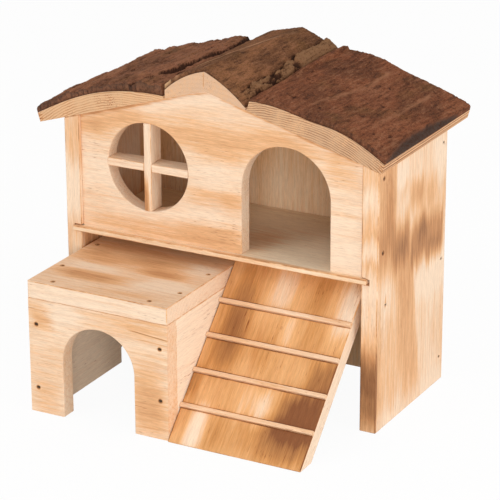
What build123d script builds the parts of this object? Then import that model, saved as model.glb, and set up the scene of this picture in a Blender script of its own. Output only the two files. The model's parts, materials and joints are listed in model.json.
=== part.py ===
from build123d import *
import os
from math import cos, radians, sin, tan

# Wooden hamster house: a nailed pine body with an upper room, a porch in front, a ramp up to the door,
# and a lift-off roof of three live-edge slabs that still carry their bark.
# Millimetres. X runs to the right along the front, Y to the rear and Z up. The origin lies on the ground
# under the middle of the whole object, which is also under the ridge of the roof.

# ---- House body ----
body_width = 192.0  # over the outer faces of the side walls
body_depth = 86.4  # side walls, front edge to rear edge
body_offset = 6.8  # middle of the body, to the right of the ridge
wall_thickness = 9.5
panel_thickness = 9.0  # front and back panels
panel_recess = 1.8  # front panel, behind the front edges of the walls
fit_gap = 0.1  # boards fitted between other boards

# ---- Upper floor and its saw cuts in the walls ----
floor_height = 85.0  # underside of the floor
floor_thickness = 3.0
floor_proud = 1.8  # front edge of the floor, in front of the walls
dado_depth = 4.8
dado_height = 3.4
floor_end_gap_left = 0.2  # between the floor's end and the bottom of the saw cut
floor_end_gap_right = 1.4

# ---- Round window and arched door of the front panel ----
window_radius = 25.2
window_side = 42.2  # middle of the window, from the left end of the panel
window_height = 128.2  # middle of the window, over the ground
bar_width = 4.6
bar_depth = 10.8
bar_gap = 0.05  # round the bars' ends and at their halved joint
door_width = 53.3
door_side = 46.0  # middle of the door, from the right end of the panel
door_spring_height = 126.0  # where the door's sides turn into its arch
edge_ease = 0.5  # sanded edges of the openings

# ---- Porch ----
porch_wall_gap = 2.3  # between the left wall and the porch
porch_right = 2.6  # right face of the porch, from the middle of the body
porch_height = 76.4
porch_reach = 59.6  # front of the porch, in front of the walls
porch_inset = 20.0  # rear of the porch, behind the front edges of the walls
porch_board = 9.5
porch_top_thickness = 10.0
arch_width = 44.9
arch_spring_height = 33.0

# ---- Ramp ----
ramp_angle = 45.8
ramp_thickness = 9.8
ramp_reach = 61.0  # toe of the ramp, in front of the walls
ramp_side_gap = 0.3  # between the ramp and the porch
ramp_wall_gap = 4.2  # between the ramp and the right wall
toe_flat = 1.2  # blunted toe
rung_count = 4
first_rung_distance = 21.0  # middle of the lowest rung, up the slope from the toe
rung_pitch = 20.9
rung_width = 2.4
rung_stand = 1.7  # above the face of the ramp
rung_housing = 1.0  # depth of the saw cut that holds a rung
rung_gap = 0.3
rung_round = 0.5

# ---- Roof ----
ridge_height = 177.6  # underside of the roof at its ridge
pitch_left = 17.2
pitch_right = 15.9
roof_half_width = 106.9
roof_reach = 109.0  # rear edge of the roof, behind the front edges of the walls
roof_proud = 0.5  # front edge of the roof, in front of the walls
roof_seat_gap = 0.1  # under the slabs, on the walls and panels
slab_joint_gap = 0.8  # between a slab and the ridge slab
left_slab_inner = 1.4  # thickness at the ridge slab
left_slab_top = ((47.5, 7.5), (72.0, 10.0), (90.0, 8.6))  # distance down the slope, thickness
left_slab_outer = 5.1  # thickness at the eave
right_slab_inner = 5.6
right_slab_top = ((46.0, 9.3), (63.0, 10.1), (79.0, 11.3), (96.0, 9.0))
right_slab_outer = 5.3
ridge_slab_half = 24.5
ridge_slab_crown = 10.7  # height over the underside at the ridge
ridge_edge_left = 4.8  # thickness of its long edges
ridge_edge_right = 1.2
ridge_bulge_left = 2.2  # of its left flank, over a straight line
ridge_bulge_right = 1.7
left_bark = (4.4, 3.8)  # thickness at the ridge slab and at the eave
right_bark = (1.7, 4.2)
ridge_bark_left = (3.6, 2.8)  # thickness at the long edge and at the crown
ridge_bark_right = (2.0, 2.8)
bark_fissure = 0.9  # depth of the furrows between the bark plates
bark_bond = 0.05  # between the bark and the wood under it
slab_plate_count = 9
flank_plate_count = 3

# ---- Battens that tie the roof together ----
batten_thickness = 7.0
batten_depth = 9.0
batten_gap = 1.2  # between a batten and the panel beside it
batten_end_gap = 3.0  # between a batten and the side wall
batten_mitre_gap = 0.3  # between the two battens at the ridge

# ---- Brads ----
shank_width = 1.3  # pressed from flat wire, so the shank and the head are oblong
shank_thickness = 1.1
head_width = 2.2
head_thickness = 1.4
head_height = 0.8
head_sink = 0.5  # top of the head, under the face of the board
brad_length = 20.0
roof_brad_length = 10.0
brad_clearance = 0.05
tip_room = 0.5
wall_brads_front = (101.8, 143.1)  # heights, into the front panel
wall_brads_rear = (14.5, 73.4, 141.0)  # heights, into the back panel
porch_front_brads_left = (14.6, 51.8)  # heights, into the porch's side panels
porch_front_brads_right = (22.4, 52.2)
porch_top_brads_left = (27.8, 64.2)  # distances behind the porch's front, into its side panels
porch_top_brads_right = (22.1, 53.0)
porch_corner_brad = 13.3  # distance from the porch's side, into the front panel
mid_brad_distance = 10.4  # brads into the porch top and the ramp, behind the walls' front edges
ramp_brad_depth = 2.4  # under the ramp's face
ramp_inner_brads = (30.0, 55.0)  # heights of the brads from inside the porch into the ramp
batten_ridge_brad = 12.0  # into the ridge slab, down the slope from the ridge
batten_end_brads = (10.0, 32.0)  # into the side slab, up the slope from the batten's lower end

# ---- Places that follow from the sizes ----
front_y = (ramp_reach - roof_reach) / 2
rear_y = front_y + body_depth
left_x = body_offset - body_width / 2
right_x = body_offset + body_width / 2
inner_left = left_x + wall_thickness
inner_right = right_x - wall_thickness
panel_y = front_y + panel_recess
back_y = rear_y - panel_thickness
floor_top = floor_height + floor_thickness
window_x = inner_left + fit_gap + window_side
door_x = inner_right - fit_gap - door_side
porch_x1 = body_offset + porch_right
porch_x0 = inner_left + porch_wall_gap
porch_width = porch_x1 - porch_x0
porch_y0 = front_y - porch_reach
porch_ceiling = porch_height - porch_top_thickness
ramp_x0 = porch_x1 + ramp_side_gap
ramp_width = inner_right - ramp_wall_gap - ramp_x0
toe_y = front_y - ramp_reach
roof_y0 = front_y - roof_proud
roof_y1 = front_y + roof_reach
roof_depth = roof_y1 - roof_y0

os.makedirs("parts", exist_ok=True)


def pitch(side):
    """Slope of one side of the roof, in radians; side is -1 for the left and 1 for the right."""
    return radians(pitch_right if side > 0 else pitch_left)


def roof_line(x):
    """Height of the roof's underside over the place x."""
    return ridge_height - abs(x) * tan(pitch(x))


def seat_line(x):
    """Height of the walls and panels under the roof at the place x."""
    return roof_line(x) - roof_seat_gap


def across(y):
    """Plane parallel to the front at the depth y, facing forward."""
    return Plane.XZ.offset(-y)


def slope_plane(side, y):
    """Plane of a roof section: its x runs down the slope from the ridge, its y stands up off the slope."""
    angle = pitch(side)
    return Plane((0, y, ridge_height), x_dir=(side * cos(angle), 0, -sin(angle)), z_dir=(0, -side, 0))


def brad_holes(seats, length=brad_length):
    """The pocket and slot of one sunk brad at each seat, a plane on the face that looks out of the wood."""
    for seat in seats:
        with BuildSketch(seat) as pocket:
            Rectangle(head_width + 2 * brad_clearance, head_thickness + 2 * brad_clearance)
        extrude(pocket.sketch, amount=-head_sink - head_height, mode=Mode.SUBTRACT)
        with BuildSketch(seat) as slot:
            Rectangle(shank_width + 2 * brad_clearance, shank_thickness + 2 * brad_clearance)
        extrude(slot.sketch, amount=-head_sink - length - tip_room, mode=Mode.SUBTRACT)


def brads(label, seats, length=brad_length):
    """One brad on each seat, with its head sunk under the face."""
    with BuildPart() as group:
        for seat in seats:
            with BuildSketch(seat.offset(-head_sink)):
                Rectangle(head_width, head_thickness)
            extrude(amount=-head_height)
            with BuildSketch(seat.offset(-head_sink - head_height)):
                Rectangle(shank_width, shank_thickness)
            extrude(amount=head_height - length)
    group.part.label = label
    export_step(group.part, f"parts/{label}.step")


# ---- Seats of the brads ----
walls = ((-1, left_x), (1, right_x))
front_seats = [
    Plane((x, panel_y + panel_thickness / 2, z), x_dir=(0, 1, 0), z_dir=(side, 0, 0))
    for side, x in walls
    for z in wall_brads_front
]
back_seats = [
    Plane((x, back_y + panel_thickness / 2, z), x_dir=(0, 1, 0), z_dir=(side, 0, 0))
    for side, x in walls
    for z in wall_brads_rear
]
ramp_brad_z = toe_flat + (ramp_reach + mid_brad_distance) * tan(radians(ramp_angle))
ramp_brad_z -= ramp_brad_depth / cos(radians(ramp_angle))
mid_y = front_y + mid_brad_distance
link_z = porch_height - porch_top_thickness / 2
porch_link_seat = Plane((left_x, mid_y, link_z), x_dir=(0, 1, 0), z_dir=(-1, 0, 0))
ramp_wall_seat = Plane((right_x, mid_y, ramp_brad_z), x_dir=(0, 1, 0), z_dir=(1, 0, 0))


def ramp_middle(z):
    """Depth at which the middle of the ramp board stands over the height z."""
    slope = radians(ramp_angle)
    return toe_y + (z - toe_flat) / tan(slope) + ramp_thickness / 2 / sin(slope)


ramp_inner_seats = [
    Plane((porch_x1 - porch_board, ramp_middle(z), z), x_dir=(0, 1, 0), z_dir=(-1, 0, 0))
    for z in ramp_inner_brads
]
porch_sides = (
    (porch_x0 + porch_board / 2, porch_front_brads_left, porch_top_brads_left),
    (porch_x1 - porch_board / 2, porch_front_brads_right, porch_top_brads_right),
)
porch_front_seats = [
    Plane((x, porch_y0, z), x_dir=(1, 0, 0), z_dir=(0, -1, 0))
    for x, heights, _ in porch_sides
    for z in heights
]
porch_side_seats = [
    Plane((x, porch_y0 + distance, porch_height), x_dir=(1, 0, 0), z_dir=(0, 0, 1))
    for x, _, distances in porch_sides
    for distance in distances
]
porch_corner_seats = [
    Plane((x, porch_y0 + porch_board / 2, porch_height), x_dir=(1, 0, 0), z_dir=(0, 0, 1))
    for x in (porch_x0 + porch_corner_brad, porch_x1 - porch_corner_brad)
]
batten_rows = {
    "front": panel_y + panel_thickness + batten_gap,
    "rear": back_y - batten_gap - batten_depth,
}


def batten_length(side):
    """Length of a batten down the slope, from the ridge to a gap before the side wall."""
    inner_face = inner_right if side > 0 else -inner_left
    return (inner_face - batten_end_gap) / cos(pitch(side))


def batten_seats(side, y):
    """Seats on the underside of one batten, looking down out of the wood."""
    face = slope_plane(side, y + batten_depth / 2)
    places = [batten_ridge_brad] + [batten_length(side) - distance for distance in batten_end_brads]
    return [
        Plane(face.from_local_coords((u, -batten_thickness, 0)), x_dir=(0, 1, 0), z_dir=-face.y_dir)
        for u in places
    ]


roof_seats = {(side, row): batten_seats(side, y) for side in (-1, 1) for row, y in batten_rows.items()}

# ---- Side walls: tops bevelled to the roof, with a stopped saw cut for the floor ----
for side, outer, name in ((-1, left_x, "left_side_wall"), (1, right_x, "right_side_wall")):
    inner = outer - side * wall_thickness
    with BuildPart() as wall:
        with BuildSketch(across(rear_y)):
            with BuildLine():
                Polyline(
                    (outer, 0),
                    (inner, 0),
                    (inner, seat_line(inner)),
                    (outer, seat_line(outer)),
                    close=True,
                )
            make_face()
        extrude(amount=body_depth)
        with BuildSketch(across(back_y)):
            with Locations((inner + side * dado_depth / 2, floor_height + dado_height / 2)):
                Rectangle(dado_depth, dado_height)
        extrude(amount=back_y - front_y, mode=Mode.SUBTRACT)
        brad_holes([seat for seat in front_seats + back_seats if seat.z_dir.X == side])
        brad_holes([porch_link_seat] if side < 0 else [ramp_wall_seat])
    wall.part.label = name
    export_step(wall.part, f"parts/{name}.step")

# ---- Front panel: gable top, round window and arched door ----
with BuildPart() as front_panel:
    with BuildSketch(across(panel_y + panel_thickness)):
        with BuildLine():
            Polyline(
                (inner_left + fit_gap, floor_top),
                (inner_right - fit_gap, floor_top),
                (inner_right - fit_gap, seat_line(inner_right)),
                (0, seat_line(0)),
                (inner_left + fit_gap, seat_line(inner_left)),
                close=True,
            )
        make_face()
        with Locations((window_x, window_height)):
            Circle(window_radius, mode=Mode.SUBTRACT)
        with Locations((door_x, door_spring_height)):
            Circle(door_width / 2, mode=Mode.SUBTRACT)
        door_side_height = door_spring_height - floor_top
        with Locations((door_x, floor_top)):
            Rectangle(
                door_width, door_side_height, align=(Align.CENTER, Align.MIN), mode=Mode.SUBTRACT
            )
    extrude(amount=panel_thickness)
    face_edges = front_panel.faces().sort_by(Axis.Y)[0].edges()
    jambs = face_edges.filter_by(Axis.Z).sort_by(Axis.X)[1:-1]
    chamfer(face_edges.filter_by(GeomType.CIRCLE) + jambs, length=edge_ease)
    brad_holes(front_seats)
front_panel.part.label = "front_panel"
export_step(front_panel.part, "parts/front_panel.step")

# ---- Back panel: closes the rear between the walls, from the ground to the roof ----
with BuildPart() as back_panel:
    with BuildSketch(across(rear_y)):
        with BuildLine():
            Polyline(
                (inner_left + fit_gap, 0),
                (inner_right - fit_gap, 0),
                (inner_right - fit_gap, seat_line(inner_right)),
                (0, seat_line(0)),
                (inner_left + fit_gap, seat_line(inner_left)),
                close=True,
            )
        make_face()
    extrude(amount=panel_thickness)
    brad_holes(back_seats)
back_panel.part.label = "back_panel"
export_step(back_panel.part, "parts/back_panel.step")

# ---- Upper floor: its ends sit in the saw cuts of the walls, its front edge shows as a sill ----
floor_x0 = inner_left - dado_depth + floor_end_gap_left
floor_x1 = inner_right + dado_depth - floor_end_gap_right
floor_y0 = front_y - floor_proud
with BuildPart() as upper_floor:
    with BuildSketch(Plane.XY.offset(floor_height)):
        with Locations((floor_x0, floor_y0)):
            Rectangle(floor_x1 - floor_x0, back_y - fit_gap - floor_y0, align=(Align.MIN, Align.MIN))
    extrude(amount=floor_thickness)
upper_floor.part.label = "upper_floor"
export_step(upper_floor.part, "parts/upper_floor.step")

# ---- Window cross: two bars with rounded-off ends, halved into each other ----
bar_y1 = panel_y + bar_depth
lap = bar_width + 2 * bar_gap
for name, size, notch_y in (
    ("window_bar_vertical", (bar_width, 2 * window_radius), bar_y1),
    ("window_bar_horizontal", (2 * window_radius, bar_width), panel_y + bar_depth / 2 + bar_gap),
):
    with BuildPart() as bar:
        with BuildSketch(across(bar_y1)):
            with Locations((window_x, window_height)):
                Circle(window_radius - bar_gap)
                Rectangle(*size, mode=Mode.INTERSECT)
        extrude(amount=bar_depth)
        with BuildSketch(across(notch_y)):
            with Locations((window_x, window_height)):
                Rectangle(lap, lap)
                Rectangle(*[max(side, lap) for side in size], mode=Mode.INTERSECT)
        extrude(amount=bar_depth / 2 + bar_gap, mode=Mode.SUBTRACT)
    bar.part.label = name
    export_step(bar.part, f"parts/{name}.step")

# ---- Porch: the front panel covers the ends of the side panels, the top board covers them all ----
with BuildPart() as porch_front_panel:
    with BuildSketch(across(porch_y0 + porch_board)):
        with Locations((porch_x0, 0)):
            Rectangle(porch_width, porch_ceiling, align=(Align.MIN, Align.MIN))
        with Locations((porch_x0 + porch_width / 2, arch_spring_height)):
            Circle(arch_width / 2, mode=Mode.SUBTRACT)
        with Locations((porch_x0 + porch_width / 2, 0)):
            Rectangle(arch_width, arch_spring_height, align=(Align.CENTER, Align.MIN), mode=Mode.SUBTRACT)
    extrude(amount=porch_board)
    face_edges = porch_front_panel.faces().sort_by(Axis.Y)[0].edges()
    jambs = face_edges.filter_by(Axis.Z).sort_by(Axis.X)[1:-1]
    chamfer(face_edges.filter_by(GeomType.CIRCLE) + jambs, length=edge_ease)
    brad_holes(porch_front_seats + porch_corner_seats)
porch_front_panel.part.label = "porch_front_panel"
export_step(porch_front_panel.part, "parts/porch_front_panel.step")

for name, x in (("porch_left_panel", porch_x0), ("porch_right_panel", porch_x1 - porch_board)):
    with BuildPart() as side_panel:
        with BuildSketch(Plane.XY):
            with Locations((x, porch_y0 + porch_board)):
                Rectangle(
                    porch_board, porch_reach + porch_inset - porch_board, align=(Align.MIN, Align.MIN)
                )
        extrude(amount=porch_ceiling)
        end_seats = porch_front_seats + porch_side_seats
        brad_holes([seat for seat in end_seats if x < seat.origin.X < x + porch_board])
        if x > porch_x0:
            brad_holes(ramp_inner_seats)
    side_panel.part.label = name
    export_step(side_panel.part, f"parts/{name}.step")

with BuildPart() as porch_top:
    with BuildSketch(Plane.XY.offset(porch_ceiling)):
        with Locations((porch_x0, porch_y0)):
            Rectangle(porch_width, porch_reach + porch_inset, align=(Align.MIN, Align.MIN))
    extrude(amount=porch_top_thickness)
    brad_holes(porch_side_seats + porch_corner_seats + [porch_link_seat])
porch_top.part.label = "porch_top"
export_step(porch_top.part, "parts/porch_top.step")

# ---- Ramp: one board on a slope, cut level at the ground and under the floor ----
slope = radians(ramp_angle)
board_run = ramp_thickness / sin(slope)  # level length of the board's end cuts
ramp_run = (floor_height - toe_flat) / tan(slope)
heel_y = toe_y - toe_flat / tan(slope) + board_run
ramp_face = Plane((ramp_x0, toe_y, toe_flat), x_dir=(1, 0, 0), z_dir=(0, -sin(slope), cos(slope)))
rung_places = [(ramp_width / 2, first_rung_distance + n * rung_pitch) for n in range(rung_count)]
with BuildPart() as ramp_board:
    with BuildSketch(Plane.YZ.offset(ramp_x0)):
        with BuildLine():
            Polyline(
                (toe_y, 0),
                (toe_y, toe_flat),
                (toe_y + ramp_run, floor_height),
                (toe_y + ramp_run + board_run, floor_height),
                (heel_y, 0),
                close=True,
            )
        make_face()
    extrude(amount=ramp_width)
    with BuildSketch(ramp_face.offset(-rung_housing)):
        with Locations(*rung_places):
            Rectangle(ramp_width, rung_width + 2 * rung_gap)
    extrude(amount=rung_housing, mode=Mode.SUBTRACT)
    brad_holes([ramp_wall_seat] + ramp_inner_seats)
ramp_board.part.label = "ramp_board"
export_step(ramp_board.part, "parts/ramp_board.step")

for n, place in enumerate(rung_places):
    with BuildPart() as rung:
        with BuildSketch(ramp_face.offset(-rung_housing)):
            with Locations(place):
                Rectangle(ramp_width, rung_width)
        extrude(amount=rung_housing + rung_stand)
        tops = rung.edges().filter_by(Axis.X).group_by(Axis((0, 0, 0), tuple(ramp_face.z_dir)))[-1]
        fillet(tops, radius=rung_round)
    rung.part.label = f"ramp_rung_{n + 1}"
    export_step(rung.part, f"parts/{rung.part.label}.step")


def plate_cuts(count):
    """Where the furrows between the bark plates fall along an arc: uneven widths, from 0 to 1."""
    widths = [1 + 0.35 * sin(2.4 * n + 0.7) for n in range(count)]
    return [sum(widths[:n]) / sum(widths) for n in range(count + 1)]


def raised(edge, place, rise):
    """A point over an edge."""
    return edge @ place + Vector(0, rise)


def bark_line(edge, place, thickness):
    """A point on the bark's crest line; its thickness goes evenly from one end of an edge to the other."""
    return raised(edge, place, thickness[0] + (thickness[1] - thickness[0]) * place)


def bark_skin(edge, count, thickness):
    """The outer line of the bark over an edge: plates that bulge between furrows."""
    furrow = Vector(0, -bark_fissure)
    cuts = plate_cuts(count)
    for start, end in zip(cuts[:-1], cuts[1:]):
        ThreePointArc(
            bark_line(edge, start, thickness) + furrow,
            bark_line(edge, (start + end) / 2, thickness),
            bark_line(edge, end, thickness) + furrow,
        )


def bark_end(edge, place, thickness):
    """The side of the bark at one end of an edge, from the wood up to the furrow's height."""
    Line(edge @ place, bark_line(edge, place, thickness) - Vector(0, bark_fissure))


# ---- Roof slabs: flat underneath, round on top where the log's outside was, with their bark ----
for side, name, inner_edge, top, outer_edge, thickness in (
    (-1, "left", left_slab_inner, left_slab_top, left_slab_outer, left_bark),
    (1, "right", right_slab_inner, right_slab_top, right_slab_outer, right_bark),
):
    section = slope_plane(side, roof_y0 if side < 0 else roof_y1)
    angle = pitch(side)
    u0 = (ridge_slab_half + slab_joint_gap) / cos(angle)
    eave_height = outer_edge + thickness[1] - bark_fissure
    u1 = (roof_half_width - eave_height * sin(angle)) / cos(angle)
    outline = [(u0, inner_edge), *top, (u1, outer_edge)]
    with BuildPart() as slab:
        with BuildSketch(section):
            with BuildLine():
                wood = Spline(*outline)
                Polyline(wood @ 0, (u0, 0), (u1, 0), wood @ 1)
            make_face()
        extrude(amount=roof_depth)
        brad_holes(roof_seats[side, "front"] + roof_seats[side, "rear"], roof_brad_length)
    slab.part.label = f"roof_slab_{name}"
    export_step(slab.part, f"parts/{slab.part.label}.step")

    with BuildPart() as bark:
        with BuildSketch(section):
            with BuildLine():
                wood = Spline(*[(u, height + bark_bond) for u, height in outline])
                bark_skin(wood, slab_plate_count, thickness)
                bark_end(wood, 0, thickness)
                bark_end(wood, 1, thickness)
            make_face()
        extrude(amount=roof_depth)
    bark.part.label = f"bark_{name}"
    export_step(bark.part, f"parts/{bark.part.label}.step")

# ---- Ridge slab: a split log piece, notched underneath over the two slopes ----
foot_left = Vector(-ridge_slab_half, roof_line(-ridge_slab_half))
foot_right = Vector(ridge_slab_half, roof_line(ridge_slab_half))


def flanks(lift=0.0):
    """The two flanks of the ridge slab's section, each from its long edge up to the crown."""
    crown = Vector(0, ridge_height + ridge_slab_crown + lift)
    arcs = []
    for foot, edge_height, bulge in (
        (foot_left, ridge_edge_left, ridge_bulge_left),
        (foot_right, ridge_edge_right, ridge_bulge_right),
    ):
        edge = foot + Vector(0, edge_height + lift)
        arcs.append(ThreePointArc(edge, (edge + crown) / 2 + Vector(0, bulge), crown))
    return arcs


with BuildPart() as ridge_slab:
    with BuildSketch(across(roof_y1)):
        with BuildLine():
            left_flank, right_flank = flanks()
            Polyline(left_flank @ 0, foot_left, (0, ridge_height), foot_right, right_flank @ 0)
        make_face()
    extrude(amount=roof_depth)
    for seats in roof_seats.values():
        brad_holes(seats, roof_brad_length)
ridge_slab.part.label = "roof_slab_ridge"
export_step(ridge_slab.part, "parts/roof_slab_ridge.step")

with BuildPart() as ridge_bark:
    with BuildSketch(across(roof_y1)):
        with BuildLine():
            for flank, thickness in zip(flanks(bark_bond), (ridge_bark_left, ridge_bark_right)):
                bark_skin(flank, flank_plate_count, thickness)
                bark_end(flank, 0, thickness)
        make_face()
    extrude(amount=roof_depth)
ridge_bark.part.label = "bark_ridge"
export_step(ridge_bark.part, "parts/bark_ridge.step")

# ---- Battens: one pair just inside each gable panel, so that they also keep the roof in place ----
for (side, row), seats in roof_seats.items():
    y = batten_rows[row]
    angle = pitch(side)
    section = slope_plane(side, y if side < 0 else y + batten_depth)
    u1 = batten_length(side)
    foot = batten_mitre_gap / 2 / cos(angle)
    with BuildPart() as batten:
        with BuildSketch(section):
            with BuildLine():
                Polyline(
                    (foot, 0),
                    (u1, 0),
                    (u1, -batten_thickness),
                    (foot + batten_thickness * tan(angle), -batten_thickness),
                    close=True,
                )
            make_face()
        extrude(amount=batten_depth)
        brad_holes(seats, roof_brad_length)
    batten.part.label = f"{row}_batten_{'left' if side < 0 else 'right'}"
    export_step(batten.part, f"parts/{batten.part.label}.step")

# ---- Brads ----
brads("front_panel_brads", front_seats)
brads("back_panel_brads", back_seats)
brads("porch_front_brads", porch_front_seats)
brads("porch_top_brads", porch_side_seats + porch_corner_seats)
brads("porch_link_brad", [porch_link_seat])
brads("ramp_brads", [ramp_wall_seat] + ramp_inner_seats)
brads("roof_brads", [seat for seats in roof_seats.values() for seat in seats], roof_brad_length)
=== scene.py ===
import json
from math import cos, degrees, exp, floor, radians, sin

import bpy
from bpy.props import FloatProperty, FloatVectorProperty, PointerProperty
from mathutils import Euler, Matrix, Vector, noise
from mathutils.bvhtree import BVHTree

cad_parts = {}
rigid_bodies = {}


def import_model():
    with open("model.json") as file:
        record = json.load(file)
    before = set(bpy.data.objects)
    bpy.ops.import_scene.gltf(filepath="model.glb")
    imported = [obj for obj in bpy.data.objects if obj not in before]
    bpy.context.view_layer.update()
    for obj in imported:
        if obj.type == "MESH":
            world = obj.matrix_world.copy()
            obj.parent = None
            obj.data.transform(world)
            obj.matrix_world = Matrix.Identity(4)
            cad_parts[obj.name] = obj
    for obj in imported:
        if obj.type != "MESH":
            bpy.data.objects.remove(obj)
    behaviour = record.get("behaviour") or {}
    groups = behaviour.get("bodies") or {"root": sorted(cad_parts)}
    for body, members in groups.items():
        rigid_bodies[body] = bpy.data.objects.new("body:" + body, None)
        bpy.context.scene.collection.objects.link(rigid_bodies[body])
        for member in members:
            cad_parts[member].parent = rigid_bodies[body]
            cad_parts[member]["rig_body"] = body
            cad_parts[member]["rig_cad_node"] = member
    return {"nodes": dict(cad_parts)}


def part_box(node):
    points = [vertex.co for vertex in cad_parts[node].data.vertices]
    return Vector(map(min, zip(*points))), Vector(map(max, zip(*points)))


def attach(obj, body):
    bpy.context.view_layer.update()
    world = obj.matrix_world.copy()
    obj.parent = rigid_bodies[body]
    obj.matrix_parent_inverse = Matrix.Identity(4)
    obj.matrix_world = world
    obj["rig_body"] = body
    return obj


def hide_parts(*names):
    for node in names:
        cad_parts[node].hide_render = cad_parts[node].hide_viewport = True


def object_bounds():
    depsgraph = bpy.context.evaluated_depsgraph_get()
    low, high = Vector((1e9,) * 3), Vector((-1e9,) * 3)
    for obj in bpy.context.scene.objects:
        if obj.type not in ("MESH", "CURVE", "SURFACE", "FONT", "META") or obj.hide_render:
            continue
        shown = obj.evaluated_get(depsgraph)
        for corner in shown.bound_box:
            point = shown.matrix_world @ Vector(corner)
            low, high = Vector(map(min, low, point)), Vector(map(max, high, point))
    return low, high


bl_info = {
    "name": "Wooden Hamster House",
    "version": (1, 0, 0),
    "blender": (4, 5, 0),
    "location": "3D View > Sidebar > Hamster House",
    "description": "Finishes the nailed hamster house: eased and scorched pine boards, and a roof of bark slabs",
    "category": "Object",
}

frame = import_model()
cad_low, cad_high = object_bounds()
CAD_BOX = [list(cad_low), list(cad_high)]

MM = 0.001
RIDGE_HEIGHT = 177.6  # millimetres, underside of the roof at its ridge
PITCH = {-1: radians(17.2), 1: radians(15.9)}
ROOF_LOW, ROOF_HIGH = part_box("roof_slab_ridge")
ROOF_FRONT = ROOF_LOW.y / MM
ROOF_DEPTH = (ROOF_HIGH.y - ROOF_LOW.y) / MM
EAVE = 106.85  # how far the bark reaches from the ridge, measured level
SHARP = radians(32)
BARK_SHARP = radians(70)


def linear(*rgb):
    """A colour given in eight-bit screen values, as the linear values that a shader takes."""
    values = [v / 255 for v in rgb]
    return tuple(v / 12.92 if v <= 0.04045 else ((v + 0.055) / 1.055) ** 2.4 for v in values)


def colour(name, description, *rgb):
    """A colour setting with its default in eight-bit screen values."""
    return FloatVectorProperty(
        name=name, description=description, subtype="COLOR", size=3, min=0.0, max=1.0, default=linear(*rgb)
    )


def length(name, description, default):
    """A length setting in metres."""
    return FloatProperty(name=name, description=description, default=default, unit="LENGTH", precision=5)


# ---- Settings ----
class HouseWoodSettings(bpy.types.PropertyGroup):
    """Edges and colours of the pine boards"""

    edge_ease: length("Edge ease", "Width of the sanded edges of the boards", 0.0005)
    pale: colour("Pale pine", "Pine that the flame did not reach", 247, 220, 192)
    golden: colour("Golden pine", "Lightly scorched pine", 235, 185, 138)
    toasted: colour("Toasted pine", "Brown, scorched pine", 206, 149, 101)
    charred: colour("Charred pine", "Darkest scorched pine", 154, 106, 70)
    latewood: colour("Latewood", "Tint of the growth rings' dark lines", 208, 158, 118)
    resin: colour("Resin dashes", "Tint of the short dark dashes in the pine", 172, 112, 72)


class HouseBarkSettings(bpy.types.PropertyGroup):
    """Relief and colours of the bark"""

    cell: length("Cell size", "Spacing of the bark's mesh", 0.00055)
    plate_step: length("Plate step", "Height between neighbouring bark plates", 0.0009)
    grit: length("Grit", "Depth of the fine roughness", 0.00036)
    red_brown: colour("Red brown", "Main colour of the right slab", 142, 84, 57)
    # the dark brown also serves as painted shade in the bark's low places, through the relief mark
    dark_brown: colour("Dark brown", "Colour in the furrows", 52, 31, 23)
    light_brown: colour("Light brown", "Rubbed tops of the plates", 172, 120, 88)
    worn_brown: colour("Worn brown", "Main colour of the left slab", 172, 114, 84)
    olive_brown: colour("Olive brown", "Main colour of the ridge slab", 150, 100, 66)
    moss_brown: colour("Moss brown", "Yellowish patches", 120, 84, 48)
    crust: colour("Crust", "Old grey crust along the seam", 148, 110, 78)


class HouseStudioSettings(bpy.types.PropertyGroup):
    """Lamps and floor"""

    key_power: FloatProperty(name="Key lamp", description="Power of the key lamp", default=7.8, subtype="POWER")
    side_power: FloatProperty(name="Side lamp", description="Power of the side lamp", default=8.6, subtype="POWER")
    front_power: FloatProperty(name="Front lamp", description="Power of the low front lamp", default=9.7, subtype="POWER")
    top_power: FloatProperty(name="Top lamp", description="Power of the top lamp", default=1.4, subtype="POWER")
    sky: FloatProperty(name="Sky", description="Strength of the even light all round", default=0.51, min=0.0)
    floor: colour("Floor", "Pale studio floor", 244, 242, 240)


# ---- Meshes ----
def only(piece):
    """Selects one object alone and makes it the active one."""
    bpy.ops.object.select_all(action="DESELECT")
    piece.select_set(True)
    bpy.context.view_layer.objects.active = piece


def copy_of(node, name):
    """A merged copy of a CAD node's mesh, with flat faces in one piece, to be shaped further."""
    source = frame["nodes"][node]
    only(source)
    bpy.ops.object.duplicate()
    piece = bpy.context.active_object
    bpy.ops.object.parent_clear(type="CLEAR_KEEP_TRANSFORM")
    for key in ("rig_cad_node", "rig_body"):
        del piece[key]
    piece.name = piece.data.name = name
    piece.data.materials.clear()
    bpy.ops.object.mode_set(mode="EDIT")
    bpy.ops.mesh.select_all(action="SELECT")
    bpy.ops.mesh.remove_doubles(threshold=2e-6)
    bpy.ops.mesh.dissolve_limited(angle_limit=radians(0.6))
    bpy.ops.object.mode_set(mode="OBJECT")
    return piece


def ease_edges(piece, width, shortest=0.004):
    """Rounds the long square edges of a board, and leaves its nail holes and chamfers alone."""
    mesh = piece.data
    faces_of = {}
    for face in mesh.polygons:
        for key in face.edge_keys:
            faces_of.setdefault(key, []).append(face.normal)
    weights = mesh.attributes.new("bevel_weight_edge", "FLOAT", "EDGE")
    for edge in mesh.edges:
        sides = faces_of.get(edge.key, [])
        a, b = (mesh.vertices[i].co for i in edge.vertices)
        square = len(sides) == 2 and sides[0].angle(sides[1]) > radians(55)
        weights.data[edge.index].value = 1.0 if square and (a - b).length > shortest else 0.0
    only(piece)
    bevel = piece.modifiers.new("Eased edges", "BEVEL")
    bevel.limit_method = "WEIGHT"
    bevel.width = width
    bevel.segments = 3
    mesh.materials.append(None)
    mesh.materials.append(None)
    bevel.material = 1
    bpy.ops.object.modifier_apply(modifier=bevel.name)
    eased = [face.material_index for face in mesh.polygons]
    mesh.attributes.new("eased", "FLOAT", "FACE").data.foreach_set("value", eased)
    mesh.polygons.foreach_set("material_index", [0] * len(eased))


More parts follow.
